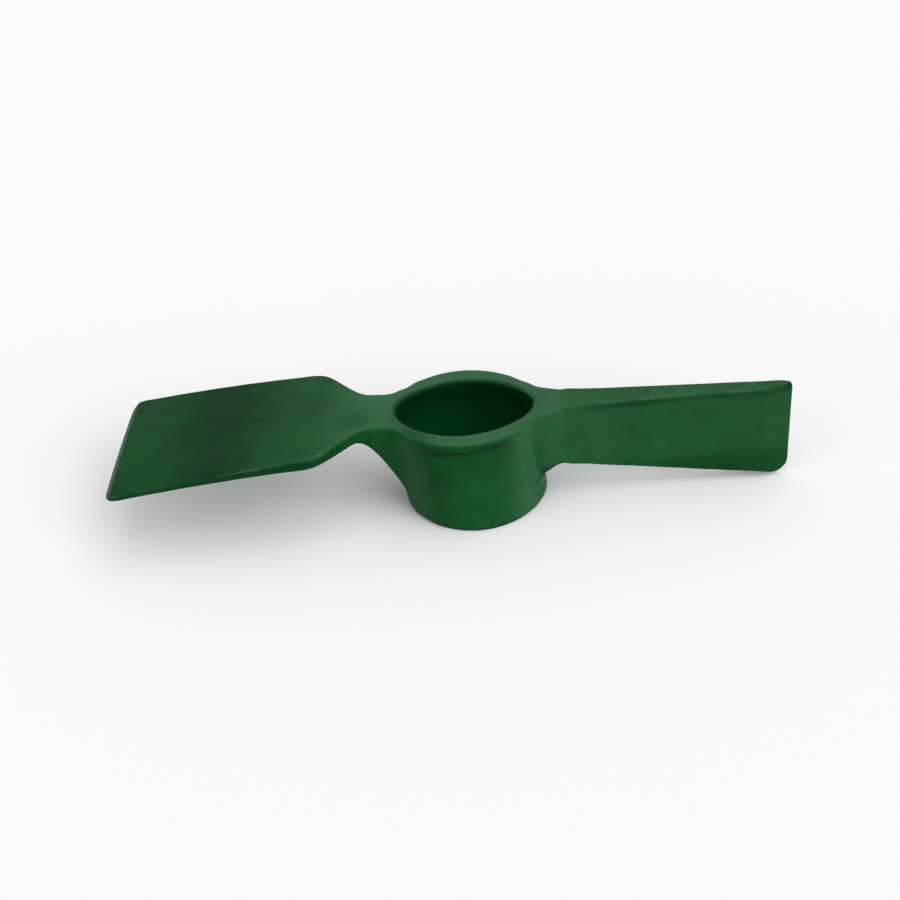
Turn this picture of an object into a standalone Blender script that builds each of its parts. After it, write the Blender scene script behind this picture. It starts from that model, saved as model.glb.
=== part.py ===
# Head of a cutter mattock: an oval eye with a lipped mouth and a deep skirt, an adze blade
# lying across one end of it, and a cutter blade standing on edge at the other end.
# Metres, +Z up along the eye towards its wide mouth, +X towards the cutter. The foot of the
# skirt stands on z = 0, and x = 0 is half way along the head.
import math

import bmesh
import bpy

# Overall sizes
ADZE_REACH = 0.2003              # axis of the eye to the adze's edge
CUTTER_REACH = 0.1816            # axis of the eye to the cutter's edge
EYE_HEIGHT = 0.0622              # rim of the mouth down to the foot of the skirt

# The tapered hole for the handle
BORE_TOP_LENGTH = 0.0750
BORE_TOP_WIDTH = 0.0490
BORE_FOOT_LENGTH = 0.0650
BORE_FOOT_WIDTH = 0.0440
BORE_FOOT_SHIFT = 0.0015         # its foot sits this much towards the cutter
BORE_FULLNESS = 1.85             # 2 is an ellipse, less is more pointed at its ends
MOUTH_RADIUS = 0.0025            # round inner edge of the rim
HEEL_RADIUS = 0.0015             # round inner edge of the foot
ROUND_START = 20                 # degrees; both rounds leave the flat faces at this slope
BORE_PAST = 0.0020               # the hole is cut past both faces by this much

# The eye's wall round that hole
END_WALL_TOP = 0.0064
END_WALL_FOOT = 0.0085
CHEEK_WALL_TOP = 0.0114
CHEEK_WALL_FOOT = 0.0147
EYE_FOOT_SHIFT = 0.0030
EYE_FULLNESS = 1.9
RIM_RADIUS = 0.0030              # round outer edge of the rim
FOOT_RADIUS = 0.0025             # round outer edge of the foot
LIP_DEPTH = 0.0040               # height of the lip round the mouth
LIP_STEP = 0.0013                # the cheeks step in this much under the lip
LIP_TURN = 0.0018                # height of the step itself
LIP_RUNOUT = 0.0130              # depth at which the step has run out into the skirt
LIP_FADE = 4                     # higher ends the step sooner, round towards the blades

# Weld faces between the eye's two tangs and the blades
ADZE_TANG = 0.0121               # end of the eye to the adze's weld face
CUTTER_TANG = 0.0141             # end of the eye to the cutter's weld face
WELD_GAP = 0.0003

# Both blades
BLADE_RISE = 0.0015              # their backs stand this much above the rim
EDGE_LAND = 0.0008               # thickness left at their cutting edges

# Adze blade
NECK_WIDTH = 0.0332
NECK_THICKNESS = 0.0098
NECK_RUN = 0.0081                # end of the eye to where the neck starts to widen
NECK_EDGE_RADIUS = 0.0038        # round long edges of the neck
SHOULDER_RUN = 0.0340            # from there to the full shoulder
SHOULDER_WIDTH = 0.0800
SHOULDER_THICKNESS = 0.0064
ADZE_EDGE_WIDTH = 0.0898
ADZE_EDGE_THICKNESS = 0.0032     # just behind the ground edge
ADZE_EDGE_RADIUS = 0.0011        # round long edges of the blade
ADZE_DROP = 0.0165               # the cutting edge lies this much below the neck
ADZE_PITCH_SHARE = 0.45          # share of the drop that is a straight pitch, the rest is curve
ADZE_CORNER_RADIUS = 0.0042
ADZE_EDGE_BOW = 0.0008           # the cutting edge's corners stay back this much
ADZE_GRIND = 0.0035              # length of the bevel ground on the upper face

# Web under the adze's neck, down to the skirt
GUSSET_LENGTH = 0.0220
GUSSET_DEPTH = 0.0345
GUSSET_TAPER = 0.0025            # each side draws in this much towards the web's lower end
GUSSET_EDGE_RADIUS = 0.0090      # round lower edges of the web, where it is deepest
GUSSET_FULLNESS = 1.35           # 2 is a round hollow, less is nearer a straight chamfer

# Cutter blade
CUTTER_ROOT_THICKNESS = 0.0168
CUTTER_EDGE_THICKNESS = 0.0046   # just behind the ground edge
CUTTER_ROOT_LIFT = 0.0224        # foot of the eye up to the lower edge, at the weld face
CUTTER_EDGE_LIFT = 0.0005        # foot of the eye up to the lower edge, at the cutting edge
CUTTER_EDGE_RISE = 0.0024        # rim up to the upper corner of the cutting edge
CUTTER_UPPER_CORNER = 0.0030
CUTTER_LOWER_CORNER = 0.0105
CUTTER_GRIND = 0.0070            # length of the bevels ground on both sides
CUTTER_EDGE_RADIUS = 0.0016      # round long edges of the blade
CUTTER_HOLLOW_LENGTH = 0.0100    # hollow under the blade, where it meets the skirt
CUTTER_HOLLOW_DEPTH = 0.0100
CUTTER_HOLLOW_FULLNESS = 1.6

# Where the tangs widen into the eye's cheeks
ADZE_FLARE_RUN = 0.0040          # end of the eye to where the flare starts
CUTTER_FLARE_RUN = 0.0220
FLARE_FADE = 3                   # higher keeps the flare further down towards the tangs' feet
TANG_ROOT = 0.0170               # the tangs reach this far in from the eye's ends
TANG_COVER = 0.0002              # their sides leave the cheeks this much under the surface
TANG_DIVE = 0.2                  # and slope away under it like this, further in
TANG_SINK = 0.0001               # their backs lie this much under the rim there
TANG_LEAD = 0.0020               # they start to rise this far in from the eye's ends
TANG_RISE_RUN = 0.0090           # and take this long to clear the rim

# Facets
EYE_SEGMENTS = 72
ROUND_STEPS = 4                  # in a quarter round
ADZE_TANG_STEPS = 16
ADZE_NECK_STEPS = 10
ADZE_BLADE_STEPS = 8
CUTTER_TANG_STEPS = 18
CUTTER_BLADE_STEPS = 9
SECTION_SPACING = 0.0002         # sections never lie closer together than this
HEIGHT_LIMIT = 0.48              # a round edge takes no more than this share of a height
WIDTH_LIMIT = 0.9                # nor than this share of half a width
CHEEK_SAMPLES = 100              # places tried along a cheek for the start of a flare
SHARP_ANGLE = 35                 # degrees; edges that turn more look sharp

ADZE_SIDE = -1                   # ends of the eye, along X
CUTTER_SIDE = 1

PAINT_COLOUR = (0.022, 0.085, 0.032)
PAINT_ROUGHNESS = 0.42

eye_top_length = BORE_TOP_LENGTH + 2 * END_WALL_TOP
eye_top_width = BORE_TOP_WIDTH + 2 * CHEEK_WALL_TOP
eye_foot_length = BORE_FOOT_LENGTH + 2 * END_WALL_FOOT
eye_foot_width = BORE_FOOT_WIDTH + 2 * CHEEK_WALL_FOOT
eye_end = eye_top_length / 2
adze_weld = eye_end + ADZE_TANG
cutter_weld = eye_end + CUTTER_TANG
neck_end = eye_end + NECK_RUN
shoulder = neck_end + SHOULDER_RUN
adze_ground = ADZE_REACH - ADZE_GRIND
cutter_ground = CUTTER_REACH - CUTTER_GRIND


def clear_scene():
    for item in list(bpy.data.objects):
        bpy.data.objects.remove(item, do_unlink=True)


def mix(low, high, share):
    return low + (high - low) * share


def clamp(share):
    return min(max(share, 0.0), 1.0)


def ease(share):
    """Smooth step from 0 to 1."""
    share = clamp(share)
    return share * share * (3.0 - 2.0 * share)


def steps(start, end, count):
    return [mix(start, end, k / count) for k in range(count + 1)]


def in_order(places):
    """Places along a blade, outwards, without near repeats."""
    kept = []
    for place in sorted(places):
        if not kept or place - kept[-1] > SECTION_SPACING:
            kept.append(place)
    return kept


def quarter_round(radius, first=0.0):
    """Steps of a round edge, from the flat face to the side: (depth, inset) pairs."""
    turns = steps(math.radians(first), math.pi / 2, ROUND_STEPS)
    return [(radius * (1.0 - math.cos(turn)), radius * (1.0 - math.sin(turn))) for turn in turns]


def round_setback(from_end, radius):
    """How far a corner of this radius draws a side in, at a distance from the piece's end."""
    left = max(radius - max(from_end, 0.0), 0.0)
    return radius - math.sqrt(radius * radius - left * left)


def hollow(share, depth, fullness):
    """Drop of a hollow fillet: 0 at share 0, its whole depth at share 1."""
    return depth * (1.0 - (1.0 - share ** fullness) ** (1.0 / fullness))


def oval(angle, half_length, half_width, fullness):
    along = math.cos(angle)
    across = math.sin(angle)
    x = half_length * math.copysign(abs(along) ** (2.0 / fullness), along)
    y = half_width * math.copysign(abs(across) ** (2.0 / fullness), across)
    return x, y


def loft(name, rings, collection, head):
    """Closed solid through rings that all have the same number of points."""
    work = bmesh.new()
    loops = [[work.verts.new(point) for point in ring] for ring in rings]
    count = len(rings[0])
    for first, second in zip(loops, loops[1:]):
        for k in range(count):
            n = (k + 1) % count
            work.faces.new((first[k], first[n], second[n], second[k]))
    work.faces.new(loops[0])
    work.faces.new(loops[-1])
    bmesh.ops.recalc_face_normals(work, faces=work.faces)
    mesh = bpy.data.meshes.new(name)
    work.to_mesh(mesh)
    work.free()
    mesh.shade_smooth()
    mesh.set_sharp_from_angle(angle=math.radians(SHARP_ANGLE))
    item = bpy.data.objects.new(name, mesh)
    collection.objects.link(item)
    item.parent = head
    return item


def cut_or_join(item, other, operation):
    step = item.modifiers.new(other.name, 'BOOLEAN')
    step.operation = operation
    step.solver = 'EXACT'
    step.object = other


def paint(item):
    finish = bpy.data.materials.new(item.name + "_paint")
    finish.use_nodes = True
    shader = finish.node_tree.nodes["Principled BSDF"]
    shader.inputs["Base Color"].default_value = (*PAINT_COLOUR, 1.0)
    shader.inputs["Roughness"].default_value = PAINT_ROUGHNESS
    shader.inputs["Metallic"].default_value = 0.0
    item.data.materials.append(finish)


# Eye: depths are from the rim of the mouth downwards

def lip_step(depth):
    """How far the cheeks draw in at a depth: sharply under the lip, then running out."""
    turned = ease((depth - LIP_DEPTH) / LIP_TURN)
    left = ease((LIP_RUNOUT - depth) / (LIP_RUNOUT - LIP_DEPTH - LIP_TURN))
    return LIP_STEP * turned * left


def eye_outline(depth):
    """Half length, half width and shift of the eye's oval at a depth."""
    share = depth / EYE_HEIGHT
    half_length = mix(eye_top_length, eye_foot_length, share) / 2
    half_width = mix(eye_top_width, eye_foot_width, share) / 2
    return half_length, half_width, EYE_FOOT_SHIFT * share


def eye_ring(depth, inset=0.0):
    """The eye's oval at a depth; the lip's step shows on the cheeks and not at the ends."""
    half_length, half_width, shift = eye_outline(depth)
    ring = []
    for k in range(EYE_SEGMENTS):
        angle = 2.0 * math.pi * k / EYE_SEGMENTS
        drawn_in = inset + lip_step(depth) * abs(math.sin(angle)) ** LIP_FADE
        x, y = oval(angle, half_length - inset, half_width - drawn_in, EYE_FULLNESS)
        ring.append((x + shift, y, -depth))
    return ring


def eye_rings():
    foot = [(EYE_HEIGHT - depth, inset) for depth, inset in quarter_round(FOOT_RADIUS)]
    lip = steps(LIP_DEPTH, LIP_DEPTH + LIP_TURN, ROUND_STEPS)
    runout = steps(LIP_DEPTH + LIP_TURN, LIP_RUNOUT, ROUND_STEPS)
    rings = [eye_ring(depth, inset) for depth, inset in quarter_round(RIM_RADIUS)]
    rings += [eye_ring(depth) for depth in in_order(lip + runout)]
    rings.append(eye_ring(EYE_HEIGHT / 2))
    rings += [eye_ring(depth, inset) for depth, inset in reversed(foot)]
    return rings


def bore_ring(depth, flare=0.0):
    share = clamp(depth / EYE_HEIGHT)
    half_length = mix(BORE_TOP_LENGTH, BORE_FOOT_LENGTH, share) / 2 + flare
    half_width = mix(BORE_TOP_WIDTH, BORE_FOOT_WIDTH, share) / 2 + flare
    ring = []
    for k in range(EYE_SEGMENTS):
        x, y = oval(2.0 * math.pi * k / EYE_SEGMENTS, half_length, half_width, BORE_FULLNESS)
        ring.append((x + BORE_FOOT_SHIFT * share, y, -depth))
    return ring


def bore_rings():
    """The hole as a solid: past both faces, and belled where its edges are round."""
    mouth = quarter_round(MOUTH_RADIUS, ROUND_START)
    heel = [(EYE_HEIGHT - depth, flare) for depth, flare in quarter_round(HEEL_RADIUS, ROUND_START)]
    rings = [bore_ring(-BORE_PAST, MOUTH_RADIUS + BORE_PAST)]
    rings += [bore_ring(depth, flare) for depth, flare in mouth]
    rings += [bore_ring(depth, flare) for depth, flare in reversed(heel)]
    rings.append(bore_ring(EYE_HEIGHT + BORE_PAST, HEEL_RADIUS + BORE_PAST))
    return rings


# Both blades are lofts through upright sections across the head

def slab_section(x, top, bottom, half_width, radius, foot_half_width, foot_radius):
    """Four-sided section with round corners, in the plane x."""
    limit = HEIGHT_LIMIT * (top - bottom)
    radius = min(radius, limit, WIDTH_LIMIT * half_width)
    foot_radius = min(foot_radius, limit, WIDTH_LIMIT * foot_half_width)
    corners = [(half_width - radius, top - radius, radius),
               (radius - half_width, top - radius, radius),
               (foot_radius - foot_half_width, bottom + foot_radius, foot_radius),
               (foot_half_width - foot_radius, bottom + foot_radius, foot_radius)]
    section = []
    for quarter, (y, z, r) in enumerate(corners):
        for turn in steps(quarter, quarter + 1, ROUND_STEPS):
            angle = turn * math.pi / 2
            section.append((x, y + r * math.cos(angle), z + r * math.sin(angle)))
    return section


def eye_wall(depth, side):
    """Axis of the eye to its end at a depth; side is -1 for the adze's end, 1 for the cutter's."""
    half_length, half_width, shift = eye_outline(depth)
    return half_length + side * shift


def cheek(distance, depth, side):
    """Half width just under the eye's surface, at a distance from its axis."""
    half_length, half_width, shift = eye_outline(depth)
    share = clamp((distance - side * shift) / half_length)
    return half_width * (1.0 - share ** EYE_FULLNESS) ** (1.0 / EYE_FULLNESS) - TANG_COVER


def flared(half_width, distance, depth, side, run):
    """Half width of a blade where it widens into the eye: its curve leaves the cheek smoothly."""
    end = eye_wall(depth, side)
    start = end + run
    if distance >= start:
        return half_width
    tries = [((cheek(place, depth, side) - half_width) / (start - place) ** 2, place)
             for place in steps(0.0, end, CHEEK_SAMPLES)]
    flare, leaves_at = max(tries)
    if distance < leaves_at:
        return cheek(distance, depth, side) - TANG_DIVE * (leaves_at - distance)
    return half_width + flare * (start - distance) ** 2


def tang_back(distance):
    """Back of a tang: under the rim inside the eye, at full rise by the time it is clear."""
    return mix(-TANG_SINK, BLADE_RISE, ease((distance - eye_end + TANG_LEAD) / TANG_RISE_RUN))


# Adze: distances are from the axis of the eye

def adze_half_width(distance):
    if distance < shoulder:
        widening = ease((distance - neck_end) / SHOULDER_RUN)
        return mix(NECK_WIDTH, SHOULDER_WIDTH, widening) / 2
    share = (distance - shoulder) / (ADZE_REACH - shoulder)
    return mix(SHOULDER_WIDTH, ADZE_EDGE_WIDTH, share) / 2


def adze_back(distance):
    """Height of the upper face: level at the neck, then down along a shallow curve."""
    if distance < neck_end:
        return tang_back(distance)
    share = (distance - neck_end) / (ADZE_REACH - neck_end)
    drop = ADZE_PITCH_SHARE * share + (1.0 - ADZE_PITCH_SHARE) * share ** 2
    return BLADE_RISE - ADZE_DROP * drop


def adze_thickness(distance):
    if distance < shoulder:
        return mix(NECK_THICKNESS, SHOULDER_THICKNESS, ease((distance - neck_end) / SHOULDER_RUN))
    share = (distance - shoulder) / (ADZE_REACH - shoulder)
    return mix(SHOULDER_THICKNESS, ADZE_EDGE_THICKNESS, share)


def gusset_share(distance):
    """0 at the outer end of the web under the neck, 1 where it reaches the skirt."""
    wall = eye_wall(NECK_THICKNESS + GUSSET_DEPTH, ADZE_SIDE)
    return clamp((wall + GUSSET_LENGTH - distance) / GUSSET_LENGTH)


def adze_section(distance):
    half_width = adze_half_width(distance)
    half_width -= round_setback(ADZE_REACH - distance, ADZE_CORNER_RADIUS)
    web_share = gusset_share(distance)
    foot_half_width = half_width - GUSSET_TAPER * web_share
    back = adze_back(distance)
    belly = back - adze_thickness(distance) - hollow(web_share, GUSSET_DEPTH, GUSSET_FULLNESS)
    back -= (ADZE_EDGE_THICKNESS - EDGE_LAND) * clamp((distance - adze_ground) / ADZE_GRIND)
    widening = ease((distance - neck_end) / SHOULDER_RUN)
    radius = mix(NECK_EDGE_RADIUS, ADZE_EDGE_RADIUS, widening)
    foot_flare = flared(foot_half_width, distance, -belly, ADZE_SIDE, ADZE_FLARE_RUN)
    section = slab_section(-distance, back, belly,
                           flared(half_width, distance, 0.0, ADZE_SIDE, ADZE_FLARE_RUN), radius,
                           mix(foot_flare, foot_half_width, web_share ** FLARE_FADE),
                           mix(radius, GUSSET_EDGE_RADIUS, web_share))
    span = ADZE_EDGE_WIDTH / 2
    bow = ADZE_EDGE_BOW * ease((distance - shoulder) / (ADZE_REACH - shoulder))
    return [(x + bow * (y / span) ** 2, y, z) for x, y, z in section]


def adze_tang_sections():
    places = steps(eye_end - TANG_ROOT, adze_weld - WELD_GAP / 2, ADZE_TANG_STEPS)
    return [adze_section(place) for place in places]


def adze_blade_sections():
    places = steps(adze_weld + WELD_GAP / 2, shoulder, ADZE_NECK_STEPS)
    places += steps(shoulder, adze_ground, ADZE_BLADE_STEPS)
    places += [ADZE_REACH - depth for depth, inset in quarter_round(ADZE_CORNER_RADIUS)]
    return [adze_section(place) for place in in_order(places)]


# Cutter: distances are from the axis of the eye

def cutter_half_thickness(distance):
    share = (distance - cutter_weld) / (cutter_ground - cutter_weld)
    half = mix(CUTTER_ROOT_THICKNESS, CUTTER_EDGE_THICKNESS, min(share, 1.0)) / 2
    return mix(half, EDGE_LAND / 2, clamp((distance - cutter_ground) / CUTTER_GRIND))


def cutter_back(distance):
    if distance < cutter_weld:
        return tang_back(distance)
    share = (distance - cutter_weld) / (CUTTER_REACH - cutter_weld)
    return mix(BLADE_RISE, CUTTER_EDGE_RISE, share ** 2)


def cutter_depth(distance):
    """Rim down to the lower edge, before the hollow is added."""
    share = (distance - cutter_weld) / (CUTTER_REACH - cutter_weld)
    return EYE_HEIGHT - mix(CUTTER_ROOT_LIFT, CUTTER_EDGE_LIFT, share)


def cutter_hollow_share(distance):
    """0 at the outer end of the hollow under the blade, 1 where it reaches the skirt."""
    wall = eye_wall(cutter_depth(distance), CUTTER_SIDE)
    return clamp((wall + CUTTER_HOLLOW_LENGTH - distance) / CUTTER_HOLLOW_LENGTH)


def cutter_section(distance):
    half = cutter_half_thickness(distance)
    left = CUTTER_REACH - distance
    top = cutter_back(distance) - round_setback(left, CUTTER_UPPER_CORNER)
    share = cutter_hollow_share(distance)
    bottom = -cutter_depth(distance) - hollow(share, CUTTER_HOLLOW_DEPTH, CUTTER_HOLLOW_FULLNESS)
    bottom += round_setback(left, CUTTER_LOWER_CORNER)
    radius = mix(RIM_RADIUS, CUTTER_EDGE_RADIUS, ease((distance - eye_end) / CUTTER_TANG))
    foot_flare = flared(half, distance, -bottom, CUTTER_SIDE, CUTTER_FLARE_RUN)
    return slab_section(distance, top, bottom,
                        flared(half, distance, 0.0, CUTTER_SIDE, CUTTER_FLARE_RUN), radius,
                        mix(foot_flare, half, share ** FLARE_FADE), radius)


def cutter_tang_sections():
    places = steps(eye_end - TANG_ROOT, cutter_weld - WELD_GAP / 2, CUTTER_TANG_STEPS)
    return [cutter_section(place) for place in places]


def cutter_blade_sections():
    places = steps(cutter_weld + WELD_GAP / 2, cutter_ground, CUTTER_BLADE_STEPS)
    for radius in (CUTTER_LOWER_CORNER, CUTTER_UPPER_CORNER):
        places += [CUTTER_REACH - depth for depth, inset in quarter_round(radius)]
    return [cutter_section(place) for place in in_order(places)]


clear_scene()
parts = bpy.data.collections.new("cutter_mattock")
helpers = bpy.data.collections.new("cutters")
bpy.context.scene.collection.children.link(parts)
bpy.context.scene.collection.children.link(helpers)

head = bpy.data.objects.new("head", None)
parts.objects.link(head)
head.location = ((ADZE_REACH - CUTTER_REACH) / 2, 0.0, EYE_HEIGHT)

eye = loft("eye", eye_rings(), parts, head)
adze_tang = loft("adze_tang", adze_tang_sections(), helpers, head)
cutter_tang = loft("cutter_tang", cutter_tang_sections(), helpers, head)
eye_bore = loft("eye_bore", bore_rings(), helpers, head)
for helper in (adze_tang, cutter_tang, eye_bore):
    helper.hide_render = True
    helper.display_type = 'WIRE'
cut_or_join(eye, adze_tang, 'UNION')
cut_or_join(eye, cutter_tang, 'UNION')
cut_or_join(eye, eye_bore, 'DIFFERENCE')

adze_blade = loft("adze_blade", adze_blade_sections(), parts, head)
cutter_blade = loft("cutter_blade", cutter_blade_sections(), parts, head)

for piece in (eye, adze_blade, cutter_blade):
    paint(piece)
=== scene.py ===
# Head of a cutter mattock, one drop forging in green paint: an oval eye for the handle, a broad
# adze blade across one end and a narrow cutter blade standing on edge at the other.
# Metres, +X towards the cutter, +Z up along the eye towards its wide mouth.
import math

import bmesh
import bpy
from mathutils import Matrix, Vector, noise


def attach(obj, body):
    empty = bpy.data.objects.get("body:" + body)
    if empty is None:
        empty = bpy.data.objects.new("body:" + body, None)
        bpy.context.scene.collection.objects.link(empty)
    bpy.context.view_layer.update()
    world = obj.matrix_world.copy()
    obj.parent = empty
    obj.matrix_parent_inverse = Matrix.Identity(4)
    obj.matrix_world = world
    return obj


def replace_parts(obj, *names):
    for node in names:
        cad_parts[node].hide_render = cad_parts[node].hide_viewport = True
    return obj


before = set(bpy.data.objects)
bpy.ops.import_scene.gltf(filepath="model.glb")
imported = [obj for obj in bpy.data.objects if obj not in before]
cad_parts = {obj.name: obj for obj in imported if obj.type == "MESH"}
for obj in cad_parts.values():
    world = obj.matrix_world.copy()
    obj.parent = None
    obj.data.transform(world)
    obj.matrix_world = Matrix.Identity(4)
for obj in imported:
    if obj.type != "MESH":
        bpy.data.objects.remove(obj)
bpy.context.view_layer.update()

bpy.context.scene.view_settings.view_transform = 'Standard'


# The eye: an oval socket that the handle is driven into from above. Forged steel, punched through
# hot, with a rounded lip round the mouth, a step under it on both cheeks, and a deep skirt below.
EYE_AXIS = 0.00935               # middle of the hole, from half way along the head
RIM = 0.0622                     # the mouth's rim, above the foot of the skirt
BORE_TOP = (0.0750, 0.0490)
BORE_FOOT = (0.0650, 0.0440)
BORE_FOOT_SHIFT = 0.0015
BORE_FULLNESS = 1.85             # 2 is an ellipse, less is more pointed at its ends
MOUTH_POINT = 0.0019             # the mouth is drawn out this much towards the cutter
MOUTH_POINT_DEPTH = 0.0300
MOUTH_POINT_FADE = 3             # higher keeps that nearer the cutter's end
EYE_TOP = (0.0878, 0.0718)
EYE_FOOT = (0.0814, 0.0728)
EYE_FOOT_SHIFT = 0.0033
EYE_FULLNESS = 1.9
MOUTH_ROUND = 0.0025
CHEEK_MOUTH_ROUND = 0.0040       # the mouth is rounder along the cheeks
HEEL_ROUND = 0.0015
RIM_ROUND = 0.0030
FOOT_ROUND = 0.0025
LIP_DEPTH = 0.0046
LIP_STEP = 0.0024
LIP_TURN = 0.0032
LIP_RUNOUT = 0.0190
LIP_FADE = 7                     # higher keeps the step nearer the middle of each cheek
BLADE_RISE = 0.0015              # the rim rises this much towards both blades
RISE_START = 0.0340
RISE_RUN = 0.0180
RISE_FADE = 0.0150               # depth at which nothing of the rise is left
TANG_CLEAR = [0.0024, 0.0022, 0.0005, -0.0015, -0.0026, 0.0]   # from a blade's middle outwards
ROUND_MIDDLE = 1.0 - math.sqrt(0.5)   # a quarter round's middle lies this share of its radius in
RIM_MIDDLE = RIM_ROUND * ROUND_MIDDLE
FOOT_MIDDLE = FOOT_ROUND * ROUND_MIDDLE
HEEL_MIDDLE = HEEL_ROUND * ROUND_MIDDLE
RIM_FLAT = 0.45                  # beside a blade the rim's flat top takes this share of its width
FOOT_RING = 0.25                 # a ring on the skirt's foot, at this share of the way outwards
HEEL_RING = 0.0052               # the lowest ring on the hole's plain wall, above the foot
BORE_RINGS = [0.72, 0.45, 0.18]  # the rings above it, as shares of the hole's depth
COLUMN_TURNS = [0.0, 10.0, 20.0, 30.5, 40.0, 45.0, 56.0, 67.5, 78.75, 90.0]   # degrees, a quarter
HALF_ROUND = 2 * (len(COLUMN_TURNS) - 1)   # columns half way round the eye
TANG_COLUMNS = 5                 # on each side of the middle, where a blade grows out of the eye
TANG_TURN = COLUMN_TURNS[TANG_COLUMNS]
WALL_DEPTHS = [                  # rings down the outside: at the adze's end, at the cutter's end
    (0.0050, 0.0050), (0.0079, 0.0079), (0.0113, 0.0113), (0.0160, 0.0160),
    (0.0225, 0.0235), (0.0310, 0.0345), (0.0425, 0.0440), (0.0534, 0.0498),
    (0.0574, 0.0555)]
TANG_SPREADS = [                 # how wide a blade's root is at each of those rings, in degrees
    (45.0, 45.0), (45.0, 45.0), (44.5, 45.0), (43.0, 44.5),
    (41.0, 43.5), (38.5, 41.5), (35.5, 38.0), (33.5, 34.0),
    (34.0, 32.0)]
FOOT_SPREAD = 34.0


def mix(low, high, share):
    return low + (high - low) * share


def clamp(share):
    return min(max(share, 0.0), 1.0)


def ease(share):
    """A soft step: level at 0 and at 1."""
    share = clamp(share)
    return share * share * (3.0 - 2.0 * share)


def rise(place, start, run):
    """0 at the start, softly up to 1 one run further on; a run below 0 goes the other way."""
    return ease((place - start) / run)


def oval(turn, half_length, half_width, fullness):
    """A point of an oval; turn is the angle at which an ellipse would have it."""
    along = math.cos(turn)
    across = math.sin(turn)
    return (half_length * math.copysign(abs(along) ** (2.0 / fullness), along),
            half_width * math.copysign(abs(across) ** (2.0 / fullness), across))


def column_turn(column):
    """Angle of a column of the skin round the eye; 0 is the cutter's end."""
    quarter = HALF_ROUND // 2
    part, left = divmod(column % (2 * HALF_ROUND), quarter)
    if part % 2:
        degrees = 180.0 * ((part + 1) // 2) - COLUMN_TURNS[quarter - left]
    else:
        degrees = 180.0 * (part // 2) + COLUMN_TURNS[left]
    return math.radians(degrees)


def wall_outline(depth):
    """Half length, half width and middle of the eye's outside at a depth below the rim."""
    share = depth / RIM
    return (mix(EYE_TOP[0], EYE_FOOT[0], share) / 2, mix(EYE_TOP[1], EYE_FOOT[1], share) / 2,
            EYE_FOOT_SHIFT * share)


def drawn_turn(column, spread):
    """Angle of a column where the columns that a blade grows from are drawn together."""
    turn = math.degrees(column_turn(column))
    from_end = abs((turn + 90.0) % 180.0 - 90.0)
    if from_end <= TANG_TURN:
        drawn = from_end * spread / TANG_TURN
    else:
        drawn = 90.0 - (90.0 - from_end) * (90.0 - spread) / (90.0 - TANG_TURN)
    end = round(turn / 180.0) * 180.0
    return math.radians(end + math.copysign(drawn, turn - end))


def wall_point(column, depth, inset=0.0, spread=TANG_TURN):
    """A point of the eye's outside, stepped in under the lip along the cheeks."""
    half_length, half_width, shift = wall_outline(depth)
    turn = drawn_turn(column, spread)
    turned = rise(depth, LIP_DEPTH, LIP_TURN)
    left = rise(depth, LIP_RUNOUT, -(LIP_RUNOUT - LIP_DEPTH - LIP_TURN))
    drawn_in = inset + LIP_STEP * turned * left * abs(math.sin(turn)) ** LIP_FADE
    x, y = oval(turn, half_length - inset, half_width - drawn_in, EYE_FULLNESS)
    return Vector((x + shift, y, -depth))


def bore_point(column, depth, flare=0.0):
    """A point of the hole's wall, drawn out a little towards the cutter near the mouth."""
    share = clamp(depth / RIM)
    half_length = mix(BORE_TOP[0], BORE_FOOT[0], share) / 2 + flare
    half_width = mix(BORE_TOP[1], BORE_FOOT[1], share) / 2 + flare
    x, y = oval(column_turn(column), half_length, half_width, BORE_FULLNESS)
    drawn_out = MOUTH_POINT * ease(1.0 - depth / MOUTH_POINT_DEPTH)
    x += drawn_out * clamp(x / half_length) ** MOUTH_POINT_FADE
    return Vector((x + BORE_FOOT_SHIFT * share, y, -depth))


def wall_ring(column, ring):
    """A point of a ring down the eye's outside, between its depths at the two ends."""
    towards_cutter = ease((1.0 + math.cos(column_turn(column))) / 2)
    spread = mix(*TANG_SPREADS[ring], towards_cutter)
    return wall_point(column, mix(*WALL_DEPTHS[ring], towards_cutter), spread=spread)


def tang_back(distance):
    """Height of the rim, and of the blades' backs beyond it, above the rim at the cheeks."""
    return BLADE_RISE * rise(distance, RISE_START, RISE_RUN)


def tang_clear(column):
    """The rim's outer edge moves out where a blade leaves it, clear of the mouth."""
    out = min(column % HALF_ROUND, HALF_ROUND - column % HALF_ROUND)
    return TANG_CLEAR[min(out, TANG_COLUMNS)]


def mouth_point(column, height, flare):
    """A point of the mouth's round; height and flare are shares of its radius."""
    radius = mix(MOUTH_ROUND, CHEEK_MOUTH_ROUND, math.sin(column_turn(column)) ** 2)
    return bore_point(column, height * radius, flare * radius)


def rim_flat(column):
    """The outer edge of the rim's flat top."""
    if tang_clear(column) == 0.0:
        return wall_point(column, 0.0, RIM_ROUND)
    outer = wall_point(column, 0.0, RIM_MIDDLE - tang_clear(column))
    return mouth_point(column, 0.0, 1.0).lerp(outer, RIM_FLAT)


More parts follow.
